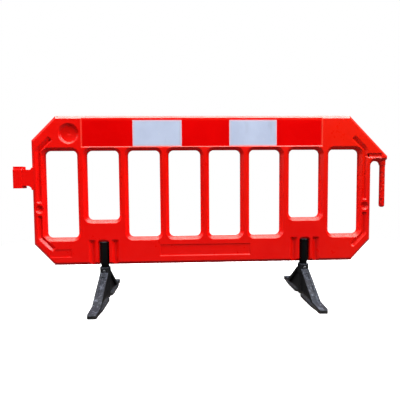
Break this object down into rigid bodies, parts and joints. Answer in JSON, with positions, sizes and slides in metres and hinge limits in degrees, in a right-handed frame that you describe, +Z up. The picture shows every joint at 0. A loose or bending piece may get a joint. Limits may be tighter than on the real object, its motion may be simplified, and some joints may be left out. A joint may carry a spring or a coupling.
{
  "type": "pedestrian barrier",
  "caption": "Moulded plastic open-frame pedestrian barrier with reflective band, link sleeve and hook-over drop pin at the ends, on swivelling feet.",
  "frame": {"origin": "on the ground under the middle of the whole barrier", "axes": "+X along the barrier from the sleeve end to the hook end, +Z up; the front, with the dish and corner recess, faces -Y"},
  "size_m": [2.055, 0.57, 1],
  "materials": {
    "body": "satin polyethylene, saturated red",
    "sheet_red": "retroreflective film, red",
    "sheet_white": "retroreflective film, white",
    "foot": "dusty black recycled rubber-plastic",
    "post": "black, fine matt",
    "fastener": "bright zinc plate"
  },
  "bodies": {
    "barrier": {"barrier_body": "body", "front_sheet_red_left": "sheet_red", "front_sheet_white_left": "sheet_white", "front_sheet_red_centre": "sheet_red", "front_sheet_white_right": "sheet_white", "front_sheet_red_right": "sheet_red", "rear_sheet_red_left": "sheet_red", "rear_sheet_white_left": "sheet_white", "rear_sheet_red_centre": "sheet_red", "rear_sheet_white_right": "sheet_white", "rear_sheet_red_right": "sheet_red"},
    "left_foot": {"left_foot": "foot", "left_post": "post", "left_hub_bolt": "fastener", "left_hub_washers": "fastener", "left_hub_nut": "fastener"},
    "right_foot": {"right_foot": "foot", "right_post": "post", "right_hub_bolt": "fastener", "right_hub_washers": "fastener", "right_hub_nut": "fastener"}
  },
  "joints": [
    {"name": "left_foot_swivel", "type": "hinge", "parent": "barrier", "child": "left_foot", "pos_m": [-0.555, 0, 0.257], "axis": [0, 0, 1], "range_deg": [-90, 90]},
    {"name": "right_foot_swivel", "type": "hinge", "parent": "barrier", "child": "right_foot", "pos_m": [0.555, 0, 0.257], "axis": [0, 0, 1], "range_deg": [-90, 90]}
  ]
}
